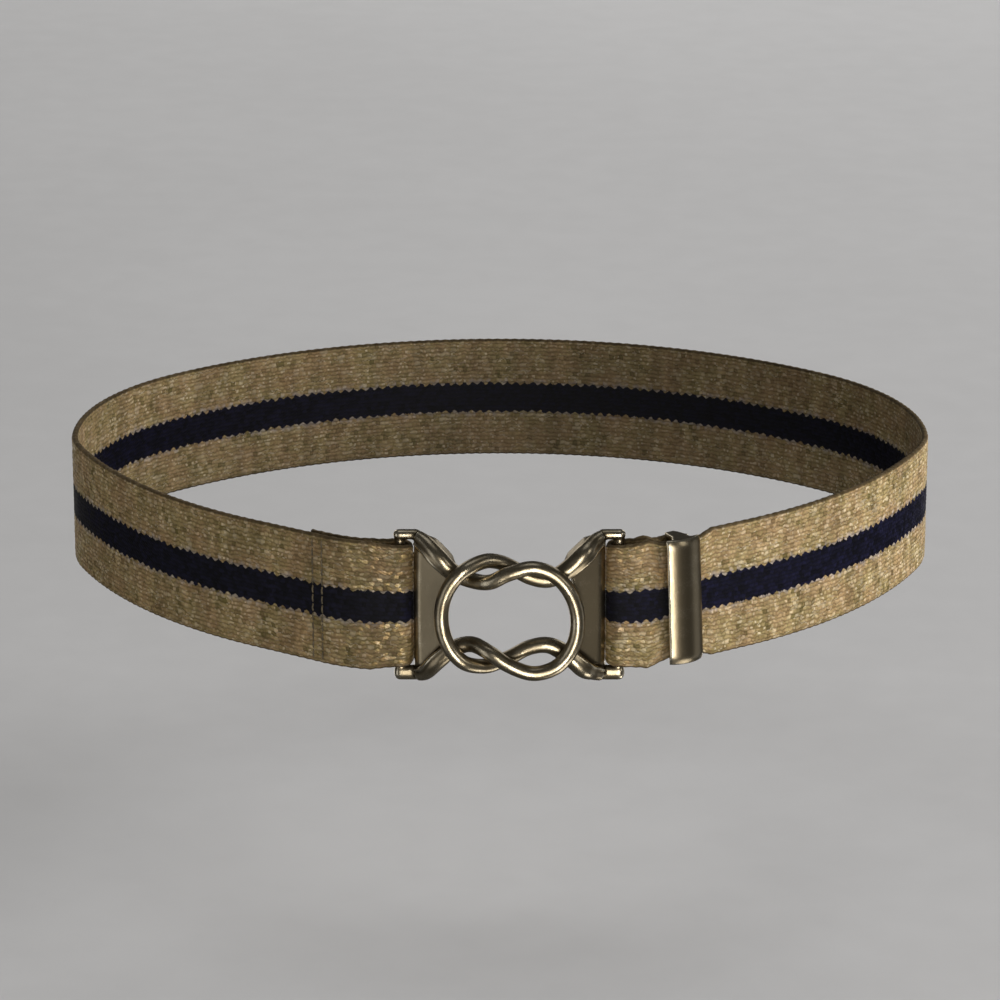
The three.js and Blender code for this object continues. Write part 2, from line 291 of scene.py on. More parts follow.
def ring_faces(rings, sides):
    """Quads between neighbouring rings of points and the two end rings as caps, all facing outwards
    where each ring turns anticlockwise as seen from ahead."""
    ring = np.arange(rings - 1)[:, None] * sides
    here = np.arange(sides)[None, :]
    there = (here + 1) % sides
    quads = np.stack([ring + here, ring + there, ring + sides + there, ring + sides + here], axis=-1)
    caps = [list(range(sides))[::-1], list(range((rings - 1) * sides, rings * sides))]
    return quads.reshape(-1, 4).tolist() + caps


def tube(path, radius, sides=20, reference=(0, -1, 0), flat=1.0):
    """A round section carried along a path of points.

    Each ring is path + radius (cos a * across + flat * sin a * up), where up is the reference
    direction made square to the path and across is square to both.
    """
    path = np.asarray(path, float)
    radius = np.broadcast_to(radius, len(path))
    tangent = np.gradient(path, axis=0)
    tangent /= np.linalg.norm(tangent, axis=1, keepdims=True)
    up = np.asarray(reference, float) - tangent * (tangent @ np.asarray(reference, float))[:, None]
    up /= np.linalg.norm(up, axis=1, keepdims=True)
    across = np.cross(up, tangent)
    angle = np.linspace(0, 2 * np.pi, sides, endpoint=False)
    rim = np.cos(angle)[None, :, None] * across[:, None, :]
    rim = rim + flat * np.sin(angle)[None, :, None] * up[:, None, :]
    rings = path[:, None, :] + radius[:, None, None] * rim
    return rings.reshape(-1, 3), ring_faces(len(path), sides)


def rod(start, end, radius, tall=1.0, sides=20):
    """A straight rod with round ends: the radius falls to nought as a quarter circle at each end.
    Its section is `tall` times as high as it is deep."""
    start, end = np.asarray(start, float), np.asarray(end, float)
    length = np.linalg.norm(end - start)
    angle = np.linspace(0.02, np.pi / 2, 8)
    near = radius * (1 - np.cos(angle))
    place = np.concatenate([near, length - near[::-1]])
    size = np.concatenate([radius * np.sin(angle), radius * np.sin(angle[::-1])])
    path = start + (end - start) * (place / length)[:, None]
    return tube(path, size, sides, (0, 0, 1), tall)


def slab(front, back):
    """A closed sheet between two grids of points of one size, the back grid behind the front one."""
    rows, columns = front.shape[:2]
    count = rows * columns
    index = np.arange(count).reshape(rows, columns)

    def quads(grid):
        return np.stack([grid[:-1, :-1], grid[1:, :-1], grid[1:, 1:], grid[:-1, 1:]], axis=-1).reshape(-1, 4)

    rim = np.concatenate([index[:-1, 0], index[-1, :-1], index[:0:-1, -1], index[0, :0:-1]])
    ahead = np.roll(rim, -1)
    wall = np.stack([ahead, rim, rim + count, ahead + count], axis=-1)
    faces = np.concatenate([quads(index), quads(index + count)[:, ::-1], wall])
    return np.concatenate([front.reshape(-1, 3), back.reshape(-1, 3)]), faces.tolist()


def through(points, count):
    """Centripetal curve through the points, whose fourth column is a radius carried along.

    Knots lie the square root of the distance apart, and each span blends its four nearest points.
    """
    points = np.vstack([2 * points[0] - points[1], points, 2 * points[-1] - points[-2]])
    gaps = np.sqrt(np.linalg.norm(np.diff(points[:, :3], axis=0), axis=1))
    knots = np.concatenate([[0], np.cumsum(gaps)])
    t = np.linspace(knots[1], knots[-2], count)
    span = np.clip(np.searchsorted(knots, t, side="right") - 1, 1, len(points) - 3)
    k = [knots[span + j][:, None] for j in (-1, 0, 1, 2)]
    p = [points[span + j] for j in (-1, 0, 1, 2)]
    t = t[:, None]

    def between(a, b, low, high):
        return ((high - t) * a + (t - low) * b) / (high - low)

    a = [between(p[j], p[j + 1], k[j], k[j + 1]) for j in range(3)]
    b = [between(a[j], a[j + 1], k[j], k[j + 2]) for j in range(2)]
    return between(b[0], b[1], k[1], k[2])


def fused(name, parts, voxel, smoothing):
    """Closed parts melted into one cast body, whose inner corners are filled by the smoothing."""
    vertices = np.concatenate([part[0] for part in parts])
    offsets = np.cumsum([0] + [len(part[0]) for part in parts[:-1]])
    faces = [[int(v + offset) for v in face] for part, offset in zip(parts, offsets) for face in part[1]]
    rough = new_object(name + "_rough", vertices, faces)
    remesh = rough.modifiers.new("Cast", "REMESH")
    remesh.mode = "VOXEL"
    remesh.voxel_size = voxel
    remesh.use_smooth_shade = True
    polish = rough.modifiers.new("Polish", "SMOOTH")
    polish.factor = 0.5
    polish.iterations = smoothing
    depsgraph = bpy.context.evaluated_depsgraph_get()
    mesh = bpy.data.meshes.new_from_object(rough.evaluated_get(depsgraph))
    mesh.name = name
    mesh.polygons.foreach_set("use_smooth", np.ones(len(mesh.polygons), bool))
    piece = bpy.data.objects.new(name, mesh)
    bpy.context.scene.collection.objects.link(piece)
    bpy.data.objects.remove(rough)
    return piece


def read_vertices(mesh, kind="co"):
    values = np.empty(len(mesh.vertices) * 3, np.float32)
    source = mesh.vertices if kind == "co" else mesh.vertex_normals
    source.foreach_get(kind if kind == "co" else "vector", values)
    return values.reshape(-1, 3)


def add_wear_and_shade(piece):
    """Point attribute `wear_and_shade`: above a half on ridges that hands polish, below it in inner corners,
    where the brass takes patina and painted shade.

    It is the mean slope from a point to its neighbours against its normal, averaged over the
    neighbours a few times, so it is the local curvature with its sign.
    """
    mesh = piece.data
    place = read_vertices(mesh)
    normal = read_vertices(mesh, "normal")
    edges = np.empty(len(mesh.edges) * 2, np.int32)
    mesh.edges.foreach_get("vertices", edges)
    a, b = edges.reshape(-1, 2).T
    count = len(place)
    degree = np.bincount(a, minlength=count) + np.bincount(b, minlength=count)
    step = place[b] - place[a]
    length = np.maximum(np.linalg.norm(step, axis=1), 1e-9)
    fall_a = -np.einsum("ij,ij->i", step, normal[a]) / length**2
    fall_b = np.einsum("ij,ij->i", step, normal[b]) / length**2
    bend = np.bincount(a, fall_a, count) + np.bincount(b, fall_b, count)
    bend /= degree
    for _ in range(WEAR_SPREAD):
        around = np.bincount(a, bend[b], count) + np.bincount(b, bend[a], count)
        bend = 0.5 * bend + 0.5 * around / degree
    wear_and_shade = np.clip(0.5 + bend * WEAR_PER_BEND, 0, WEAR_MOST)
    mesh.attributes.new("wear_and_shade", "FLOAT", "POINT").data.foreach_set("value", wear_and_shade.astype(np.float32))


# Webbing

def layer_out(from_bar, bar_depth, lay_depth, ease):
    """How far outside the line a layer behind the webbing lies: minus its depth, which eases from
    the bar's far side to the flat lay as 3 t^2 - 2 t^3."""
    t = np.clip(from_bar / ease, 0, 1)
    return -(bar_depth + (lay_depth - bar_depth) * t * t * (3 - 2 * t))


def strap_route():
    """Points of the webbing's middle at equal steps from its left sewn end to its right one, with
    their distance along it and their place s on the plan line."""
    fine = 0.2 * MM
    turn = np.linspace(0, np.pi, 40)[1:-1]
    tail = np.arange(TAIL_LENGTH, fine / 2, -fine)
    girth = 2 * HALF_GIRTH - (RIGHT_BAR_S - LEFT_BAR_S)
    round_it = LEFT_BAR_S - np.linspace(0, girth, int(girth / fine))
    round_it = np.where(round_it < -HALF_GIRTH, round_it + 2 * HALF_GIRTH, round_it)
    back = np.arange(0, SLIDER_S - RIGHT_BAR_S, fine)
    end = np.arange(0, SLIDER_TAIL, fine)
    back_bar_depth = LAYER_PITCH + BACK_BAR_WRAP
    stretches = [
        (LEFT_BAR_S - tail, layer_out(tail, 2 * BAR_WRAP, LAYER_PITCH, FOLD_EASE)),
        (LEFT_BAR_S + BAR_WRAP * np.sin(turn), -BAR_WRAP - BAR_WRAP * np.cos(turn)),
        (round_it, 0 * round_it),
        (RIGHT_BAR_S - BAR_WRAP * np.sin(turn), -BAR_WRAP + BAR_WRAP * np.cos(turn)),
        (RIGHT_BAR_S + back, layer_out(back, 2 * BAR_WRAP, LAYER_PITCH, FOLD_EASE)),
        (SLIDER_S + BACK_BAR_WRAP * np.sin(turn), -back_bar_depth + BACK_BAR_WRAP * np.cos(turn)),
        (SLIDER_S - end,
         layer_out(end, LAYER_PITCH + 2 * BACK_BAR_WRAP, 2 * LAYER_PITCH, SLIDER_FOLD_EASE)),
    ]
    s = np.concatenate([stretch[0] for stretch in stretches])
    out = np.concatenate([stretch[1] for stretch in stretches])
    place = beside_line(s, out)
    along = np.concatenate([[0], np.cumsum(np.linalg.norm(np.diff(place, axis=0), axis=1))])
    steps = int(along[-1] / ALONG_STEP)
    even = np.linspace(0, along[-1], steps + 1)
    even_place = np.stack([np.interp(even, along, place[:, k]) for k in (0, 1)], axis=-1)
    return even_place, np.arange(steps + 1) * ALONG_STEP, np.interp(even, along, s)


def drawn_in(s, centre, depth, radius):
    """How far a round edge of this radius cuts into the webbing's edge near `centre`."""
    reach = np.sqrt(np.maximum(radius**2 - (s - centre) ** 2, 0))
    return np.maximum(depth - radius + reach, 0)


def webbing_rows():
    """Across, side and thickness share of the points round the webbing's section: up the face,
    over the upper edge, down the reverse and round the lower edge."""
    top = STRAP_WIDTH / 2
    face = np.arange(-FACE_STEPS, FACE_STEPS + 1) * ACROSS_STEP
    reverse = np.arange(REVERSE_STEPS, -REVERSE_STEPS - 1, -1) * REVERSE_STEP
    near_edge = top - EDGE_ROUND
    across = np.concatenate([[-top, -near_edge], face, [near_edge, top, near_edge], reverse, [-near_edge]])
    side = np.concatenate([
        [0, EDGE_SHARE], np.ones(len(face)),
        [EDGE_SHARE, 0, -EDGE_SHARE], -np.ones(len(reverse)), [-EDGE_SHARE],
    ])
    return across, side


def relief(along, across):
    """Height of the weave from 0 to 1 at the grid's steps: grains laid like bricks, each of a height
    of its own at every second step, and low uneven places between them."""
    chance = np.random.default_rng(GRAIN_SEED).random((len(along), len(across)))
    step = np.round(along / ALONG_STEP)[:, None]
    place = across[None, :] / GRAIN_WIDTH
    row = np.round(place)
    grain = np.where((step + row) % 2 == 0, 0.3 + 0.7 * chance, 0.5 * chance)
    return np.where(np.abs(place - row) < 0.25, grain, 0.4 * chance)


def make_webbing():
    """The section above at each step of the route: the middle plus side times half the thickness
    along the face's normal, and across scaled to the width left between the drawn-in edges."""
    place, along, s = strap_route()
    tangent = np.gradient(place, axis=0)
    tangent /= np.linalg.norm(tangent, axis=1, keepdims=True)
    face = np.stack([-tangent[:, 1], tangent[:, 0]], axis=-1)
    across, side = webbing_rows()
    inset = drawn_in(s, SLIDER_S, *SLIDER_DRAW_IN)
    inset += drawn_in(s, LEFT_BAR_S, *FOLD_DRAW_IN) + drawn_in(s, RIGHT_BAR_S, *FOLD_DRAW_IN)
    past_bar = np.clip(np.minimum(s - LEFT_BAR_S, RIGHT_BAR_S - s) / BAR_WRAP, 0, 1)
    inset += FOLD_ROUNDING * (1 - np.sqrt(1 - past_bar**2))
    from_bar = np.minimum(np.abs(s - LEFT_BAR_S), np.abs(s - RIGHT_BAR_S))
    hang = BAR_HANG * np.exp(-((from_bar / BAR_HANG_REACH) ** 2))
    scallop = SCALLOP * np.cos(2 * np.pi * along / TOOTH_LENGTH)
    squeeze = (STRAP_WIDTH / 2 - inset + scallop) / (STRAP_WIDTH / 2)
    raised = GRAIN_HEIGHT * (relief(along, across) - 0.5) * (side > EDGE_SHARE)
    raised *= np.where(np.abs(across) < STRIPE_HALF, STRIPE_RELIEF, 1)
    lift = side * HALF + raised
    points = np.empty((len(along), len(across), 3))
    points[..., :2] = place[:, None, :] + lift[..., None] * face[:, None, :]
    points[..., 2] = squeeze[:, None] * across[None, :] - hang[:, None]
    faces = ring_faces(len(along), len(across))
    piece = new_object("webbing", points.reshape(-1, 3), faces)
    mesh = piece.data
    weave = np.stack(np.broadcast_arrays(along[:, None], across[None, :]), axis=-1).reshape(-1, 2)
    corner = np.empty(len(mesh.loops), np.int32)
    mesh.loops.foreach_get("vertex_index", corner)
    mesh.uv_layers.new(name="weave").data.foreach_set("uv", weave[corner].astype(np.float32).ravel())
    reverse = np.broadcast_to(side < 0, (len(along), len(side))).astype(np.float32).ravel()
    mesh.attributes.new("reverse", "FLOAT", "POINT").data.foreach_set("value", reverse)
    return piece


def make_stitches():
    """Two rows of stitches across each sewn end. One stitch is a thread along +Z whose middle rises
    out of the face by half a sine; it is repeated at each place, and turned round on a reverse."""
    t = np.linspace(0, 1, 7)
    rise = STITCH_RISE * np.sin(np.pi * t) - STITCH_SINK
    path = np.stack([0 * t, -rise, STITCH_LENGTH * (t - 0.5)], axis=-1)
    thread, faces = tube(path, STITCH_RADIUS, 6)
    left = LEFT_BAR_S - TAIL_LENGTH + SEAM_FROM_END
    right = SLIDER_S - SLIDER_TAIL + SEAM_FROM_END
    seams = np.array([  # place along the line, place outside it, and which way the face looks
        (left, HALF, 1),
        (left, -LAYER_PITCH - HALF, -1),
        (right, -2 * LAYER_PITCH - HALF, -1),
    ])
    rows = np.array([-SEAM_WIDTH / 2, SEAM_WIDTH / 2])
    heights = np.arange(-STITCHES_EACH_SIDE, STITCHES_EACH_SIDE + 1) * STITCH_PITCH
    seam, row, height = (grid.ravel() for grid in np.meshgrid(np.arange(3), rows, heights, indexing="ij"))
    start, out, facing = (seams[seam, k][:, None] for k in range(3))
    s = start + row[:, None] + facing * thread[None, :, 0]
    plan = beside_line(s, out - facing * thread[None, :, 1])
    z = height[:, None] + thread[None, :, 2]
    points = np.concatenate([plan, z[..., None]], axis=-1).reshape(-1, 3)
    offsets = np.arange(len(seam)) * len(thread)
    every = [[v + int(offset) for v in face] for offset in offsets for face in faces]
    return new_object("seam_stitches", points, every)


# Clasp

def bend(degrees, lift, radius):
    """A point of the half ellipse that ends a loop."""
    angle = math.radians(degrees)
    return (EYE_CENTRE_U + EYE_RADIUS_U * math.cos(angle), EYE_RADIUS_W * math.sin(angle), lift, radius)


# Wire of each half from its upper arm to the end of its loop: u towards the loop's end and w up in
# millimetres, the wire's level (-1 behind, +1 in front where two cross) and its radius
LEFT_WIRE = (
    (-19, 14.8, -1.5, 2.3),
    (-14.9, 10.8, -1.15, 2.25),
    (-10.2, 9, -0.9, 2.15),
    (-5.2, 9.9, 0.7, 2.05),
    (-0.4, 12.7, 1.1, 2),
    bend(90, 1.1, 2),
    bend(62, 1.05, 2),
    bend(40, 1, 2),
    bend(20, 0.95, 2),
    bend(0, 0.9, 2),
)
RIGHT_WIRE = (
    (-19.7, 16.2, -1.5, 2.5),
    (-15.3, 12, -1.15, 2.45),
    (-10.2, 9.2, -1, 2.2),
    (-5.2, 9.9, -1, 2.05),
    (-0.4, 12.6, -1.05, 2),
    (2.8, 14, -0.95, 2),
    bend(90, -0.35, 2),
    bend(62, 0.85, 2),
    bend(40, 1.05, 2),
    bend(20, 1, 2),
    bend(0, 0.9, 2),
)
ARM_FOOT = (  # the wire's points before those: u, w and v from the end piece's inner end, and radius
    (-0.5, -0.1, 0.8, 1.6),
    (1.6, -1.3, 2.3, 1.95),
)
CLASP_HALVES = {  # sag in millimetres and tilt in degrees of the line between the bars
    "clasp_half_left": {"side": -1, "wire": LEFT_WIRE, "sag": -0.4, "tilt": -3.2},
    "clasp_half_right": {"side": 1, "wire": RIGHT_WIRE, "sag": 0.1, "tilt": 0.6},
}


def arm_rows(wire, sag, tilt, arm):
    """u, w, v and radius of the wire's points from the upper (1) or lower (-1) end piece to the
    loop's end. Past its foot an arm stands off a line that sags and tilts between the bars."""
    end_u, end_w, end_v = END_INNER_U / MM, END_W / MM, END_V / MM
    foot = np.array([(u - end_u, arm * (end_w + w), end_v + v, radius) for u, w, v, radius in ARM_FOOT])
    rows = np.array(wire, float)
    level = sag + rows[:, 0] * math.tan(math.radians(tilt))
    depth = KNOT_V / MM + PASS_LIFT / MM * rows[:, 2]
    rest = np.stack([rows[:, 0], level + arm * rows[:, 1], depth, rows[:, 3]], axis=-1)
    return np.vstack([foot, rest]) * MM


def placed(side, u, w, v):
    """Points of a half from its own directions: u to the loop's end, w up, v out of the front."""
    return np.stack(np.broadcast_arrays(CLASP_X - side * u, FRONT_Y - v, w - CLASP_DROP), axis=-1)


def arm_frame(rows, arm):
    """Smooth line of an arm from its foot to its neck, and at each point the direction across it,
    in the plane of u and w, towards the web."""
    line = through(rows[:4], ARM_POINTS)
    along = np.gradient(line[:, :2], axis=0)
    along /= np.linalg.norm(along, axis=1, keepdims=True)
    return line, arm * np.stack([along[:, 1], -along[:, 0]], axis=-1)


def arm_wall(side, rows, arm):
    """Wall behind an arm: a band along it, from the end piece to the neck, which reaches back from
    the wire's middle as deep as the fold. It swells to its thickness over its first quarter, and
    its thickness and depth run out over its last third by a smooth step."""
    line, towards_web = arm_frame(rows[1:], arm)
    line, towards_web = line[:WALL_POINTS], towards_web[:WALL_POINTS]
    t = np.clip(np.linspace(-1.8, 1, WALL_POINTS), 0, 1)[:, None]
    fade = t * t * (3 - 2 * t)
    swell = np.clip(np.linspace(0.3, 3.4, WALL_POINTS), 0, 1)[:, None] ** 0.7
    c = np.linspace(-0.5, 0.5, 6)[None, :] * WALL_THICKNESS * (swell - WALL_THINNING * fade)
    u = line[:, :1] + c * towards_web[:, :1]
    w = line[:, 1:2] + c * towards_web[:, 1:]
    front = np.maximum(line[:, 2:3], WALL_FRONT)
    back = WALL_BACK + fade * (front - RIM_RADIUS - WALL_BACK)
    return slab(placed(side, u, w, front), placed(side, u, w, back))


def arm_rim(side, rows, arm):
    """Round bead along the arm's edge beside the web, which fades out at both ends."""
    line, towards_web = arm_frame(rows, arm)
    centre = line[:, :2] + RIM_OFFSET * towards_web
    fade = np.sin(np.pi * np.linspace(0.08, 0.94, len(line))) ** 0.5
    path = placed(side, centre[:, 0], centre[:, 1], line[:, 2] + RIM_LIFT)
    return tube(path, RIM_RADIUS * fade, 14)


def web_plate(side, wire, sag):
    """Fan between the two arms: its upper and lower edges run straight from the end pieces to the
    necks, it is dished by a parabola across, and its two free edges curl back by a parabola."""
    inner_w = (wire[0][1] + wire[1][1]) / 2 * MM + WEB_IN_ARM
    outer_w = END_W - WEB_IN_ARM
    t, h = np.meshgrid(np.linspace(0, WEB_REACH, 32), np.linspace(-1, 1, 25), indexing="ij")
    inward = t * (1 + WEB_HOLLOW * h**2)
    reach = (WEB_OUTER_U - WEB_INNER_U) * inward
    w = sag * MM * inward + (outer_w + (inner_w - outer_w) * inward) * h
    curl = np.clip(1 - t / WEB_CURL, 0, 1) ** 2 + np.clip(1 - (WEB_REACH - t) / WEB_CURL, 0, 1) ** 2
    dish = WEB_DISH * (1 - h**2) + WEB_LIP * curl
    slope = math.radians(WEB_SLOPE)
    grids = []
    for thickness in (WEB_THICKNESS / 2, -WEB_THICKNESS / 2):
        v = thickness - dish
        u = WEB_OUTER_U - reach * math.cos(slope) - v * math.sin(slope)
        out = WEB_V + reach * math.sin(slope) + v * math.cos(slope)
        grids.append(placed(side, -u, w, out))
    return slab(*grids)


def make_clasp_half(name, side, wire, sag, tilt):
    """Tapering bent wire, two arms with their walls and rims, two round-ended end pieces, the strap
    bar and the web plate, cast in one."""
    arms = {arm: arm_rows(wire, sag, tilt, arm) for arm in (1, -1)}
    u, w, v, radius = through(np.vstack([arms[1], arms[-1][-2::-1]]), 280).T
    bar_x = CLASP_X + side * BAR_U
    bar_y = FRONT_Y + BAR_WRAP
    bar = [(bar_x, bar_y, z - CLASP_DROP) for z in np.linspace(-END_W, END_W, 12)]
    parts = [tube(placed(side, u, w, v), radius, 28), tube(bar, BAR_RADIUS, 24), web_plate(side, wire, sag)]
    for arm, rows in arms.items():
        reach = -np.array([END_INNER_U - END_IN_ARM, END_OUTER_U])
        inner, outer = placed(side, reach, arm * END_W + END_SHIFT[arm], END_V)
        parts.append(rod(inner, outer, END_RADIUS, END_TALL[arm]))
        parts += [arm_wall(side, rows, arm), arm_rim(side, rows, arm)]
    piece = fused(name + "_cast", parts, CLASP_VOXEL, CLASP_SMOOTHING)
    add_wear_and_shade(piece)
    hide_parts(name)
    return piece


# Slider

def make_slider():
    """Domed front plate, two ends over the webbing's edges and the round back bar, in one body.

    The plate's section is flat behind and part of a circle in front; it is carried up the height,
    sheared so that its top leans to the left, and turned back at the top and bottom by a parabola.
    """
    plate_back = -(HALF + PLATE_ROOM)
    edge = plate_back - PLATE_EDGE
    bar_middle = LAYER_PITCH + BACK_BAR_WRAP
    height = THROAT_HEIGHT + 2 * SLIDER_END
    half_width = SLIDER_WIDTH / 2
    x = np.linspace(-half_width, half_width, 25)
    dome_radius = (half_width**2 + PLATE_DOME**2) / (2 * PLATE_DOME)
    dome = edge - PLATE_DOME + dome_radius - np.sqrt(dome_radius**2 - x**2)
    z = np.linspace(-height / 2, height / 2, 90)
    lean = math.tan(math.radians(PLATE_LEAN))
    turned = np.clip(1 - (height / 2 - np.abs(z)) / PLATE_TURN[0], 0, 1) ** 2 * PLATE_TURN[1]
    face = dome[None, :] + turned[:, None]
    front = np.stack(np.broadcast_arrays(x[None, :] - lean * z[:, None], face, z[:, None]), axis=-1)
    back = front.copy()
    back[..., 1] = plate_back
    parts = [slab(front[::-1], back[::-1])]
    bar_reach = height / 2 - SLIDER_END_SLOPE
    bar = [(0, bar_middle, h) for h in np.linspace(-bar_reach, bar_reach, 9)]
    parts.append(tube(bar, BACK_BAR_RADIUS, 24))
    end_front = plate_back - PLATE_EDGE / 2
    end_back = bar_middle + BACK_BAR_RADIUS
    for sign in (1, -1):
        y = np.linspace(end_front, end_back, 14)
        back_share = np.linspace(0, 1, len(y))[:, None]
        cross = np.linspace(-0.5, 0.5, 9)[None, :] * SLIDER_END_WIDTH * (1 - 0.5 * back_share)
        shifted = cross - sign * lean * height / 2 * (y[:, None] < 0)
        rise = height / 2 - SLIDER_END_SLOPE * back_share
        top = np.stack(np.broadcast_arrays(shifted, y[:, None], rise), axis=-1)
        under = top.copy()
        under[..., 2] -= SLIDER_END
        if sign < 0:
            top, under = under * (1, 1, -1), top * (1, 1, -1)
        parts.append(slab(top[::-1], under[::-1]))
    sx, sy, heading = (float(v) for v in on_line(SLIDER_S))
    cos, sin = math.cos(heading), math.sin(heading)
    turn = np.array([[cos, sin, 0], [-sin, cos, 0], [0, 0, 1]])
    parts = [(vertices @ turn + (sx, sy, 0), faces) for vertices, faces in parts]
    piece = fused("slider_cast", parts, SLIDER_VOXEL, SLIDER_SMOOTHING)
    add_wear_and_shade(piece)
    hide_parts("slider")
    return piece


# Shader nodes

def node(tree, kind, inputs=None, **settings):
    """A shader node with its settings and inputs; an input is a value or another node's socket."""
    made = tree.nodes.new("ShaderNode" + kind)
    for name, value in settings.items():
        setattr(made, name, value)
    for key, value in (inputs or {}).items():
        if isinstance(value, bpy.types.NodeSocket):
            tree.links.new(value, made.inputs[key])
        else:
            made.inputs[key].default_value = value
    return made


def math_node(tree, operation, *values):
    return node(tree, "Math", dict(enumerate(values)), operation=operation).outputs[0]


def multiply(tree, a, b):
    return math_node(tree, "MULTIPLY", a, b)


def multiply_add(tree, value, factor, offset):
    return math_node(tree, "MULTIPLY_ADD", value, factor, offset)


def noise(tree, place, scale, detail):
    return node(tree, "TexNoise", {"Vector": place, "Scale": scale, "Detail": detail}).outputs


def draw_lot(tree, *cell):
    """A random value and a random colour for each cell, which three whole numbers name."""
    place = node(tree, "CombineXYZ", dict(enumerate(cell))).outputs[0]
    return node(tree, "TexWhiteNoise", {"Vector": place}, noise_dimensions="3D").outputs


def point_value(tree, name):
    return node(tree, "Attribute", attribute_name=name, attribute_type="GEOMETRY").outputs["Fac"]


def blend_colour(tree, factor, a, b):
    mix = node(tree, "Mix", data_type="RGBA", clamp_factor=True)
    for socket, value in ((mix.inputs[0], factor), (mix.inputs[6], a), (mix.inputs[7], b)):
        if isinstance(value, bpy.types.NodeSocket):
            tree.links.new(value, socket)
        else:
            socket.default_value = value if isinstance(value, (int, float)) else (*value, 1)
    return mix.outputs[2]


def ramp(tree, value, low, high, to_low=0.0, to_high=1.0):
    """Maps low..high of a value smoothly to to_low..to_high."""
    made = node(tree, "MapRange", {0: value, 1: low, 2: high, 3: to_low, 4: to_high},
                interpolation_type="SMOOTHSTEP", clamp=True)
    return made.outputs[0]


def mottle_group():
    """Uneven tone at two scales, used by every finish: a coarse noise plus a fine one, as a value
    round a half."""
    group = bpy.data.node_groups.new("mottle", "ShaderNodeTree")
    group.interface.new_socket("Place", in_out="INPUT", socket_type="NodeSocketVector")
    for name in ("Coarse", "Fine", "Share"):
        group.interface.new_socket(name, in_out="INPUT", socket_type="NodeSocketFloat")
    group.interface.new_socket("Value", in_out="OUTPUT", socket_type="NodeSocketFloat")
    start = group.nodes.new("NodeGroupInput").outputs
    coarse = noise(group, start["Place"], start["Coarse"], 3.0)[0]
    fine = noise(group, start["Place"], start["Fine"], 2.0)[0]
    both = node(group, "Mix", {0: start["Share"], 2: coarse, 3: fine})
    end = group.nodes.new("NodeGroupOutput")
    group.links.new(both.outputs[0], end.inputs["Value"])
    return group


MOTTLE = mottle_group()


def mottle(tree, place, coarse, fine, share):
    values = {"Place": place, "Coarse": coarse, "Fine": fine, "Share": share}
    return node(tree, "Group", values, node_tree=MOTTLE).outputs["Value"]


def new_material(name):
    material = bpy.data.materials.new(name)
    material.use_nodes = True
    return material, material.node_tree, material.node_tree.nodes["Principled BSDF"]


def connect(tree, shader, **sockets):
    for name, value in sockets.items():
        socket = shader.inputs[name.replace("_", " ")]
        if isinstance(value, bpy.types.NodeSocket):
            tree.links.new(value, socket)
        else:
            socket.default_value = value


def weave_cells(tree, uv, along, across):
    """Grains laid like bricks in rows that wander. A point's place in its row and grain gives the
    ridge, a product of two cosine humps, and each grain and half grain draws lots of its own."""
    wander = node(tree, "SeparateColor", {0: noise(tree, uv, WANDER_SCALE, 1.0)[1]}).outputs
    row = multiply_add(tree, wander[0], WANDER, math_node(tree, "DIVIDE", across, GRAIN_WIDTH))
    row_number = math_node(tree, "ROUND", row)
    brick_shift = multiply(tree, math_node(tree, "PINGPONG", row_number, 1.0), 0.5)
    grain = math_node(tree, "ADD", math_node(tree, "DIVIDE", along, GRAIN_LENGTH), brick_shift)
    grain = multiply_add(tree, wander[1], WANDER, grain)
    grain_number = math_node(tree, "ROUND", grain)
    half_grain = math_node(tree, "ROUND", multiply(tree, grain, 2.0))
    half_row = math_node(tree, "ROUND", multiply(tree, row, 2.0))
    in_grain = math_node(tree, "SUBTRACT", grain, grain_number)
    in_row = math_node(tree, "SUBTRACT", row, row_number)

    def hump(value):
        return multiply_add(tree, math_node(tree, "COSINE", multiply(tree, value, 2 * math.pi)), 0.5, 0.5)

    lot = draw_lot(tree, grain_number, row_number, 0.5)
    return {
        "in_grain": in_grain,
        "ridge": multiply(tree, multiply_add(tree, hump(in_grain), 0.55, 0.45), hump(in_row)),
        "chance": lot[0],
        "chances": node(tree, "SeparateColor", {0: lot[1]}).outputs,
        "speck": draw_lot(tree, half_grain, half_row, 3.5)[0],
    }


def stripe_masks(tree, along, across, weave):
    """The stripe, whose border is a zigzag of teeth that each grain moves a little, and a band
    beside it where some grains are pale flecks."""
    upper = math_node(tree, "GREATER_THAN", across, 0.0)
    tooth_place = math_node(tree, "DIVIDE", along, TOOTH_LENGTH / 2)
    tooth_place = multiply_add(tree, upper, 0.7, tooth_place)
    border = multiply_add(tree, math_node(tree, "PINGPONG", tooth_place, 1.0), TOOTH_DEPTH, STRIPE_HALF)
    uneven = multiply_add(tree, weave["chance"], 0.5 * MM, -0.25 * MM)
    from_middle = math_node(tree, "ABSOLUTE", across)
    past_border = math_node(tree, "SUBTRACT", from_middle, math_node(tree, "ADD", border, uneven))
    stripe = ramp(tree, past_border, -0.15 * MM, 0.15 * MM, 1.0, 0.0)
    near = ramp(tree, past_border, 0.1 * MM, 1.8 * MM, 1.0, 0.0)
    return stripe, multiply(tree, near, ramp(tree, weave["chances"][2], 0.4, 0.65))


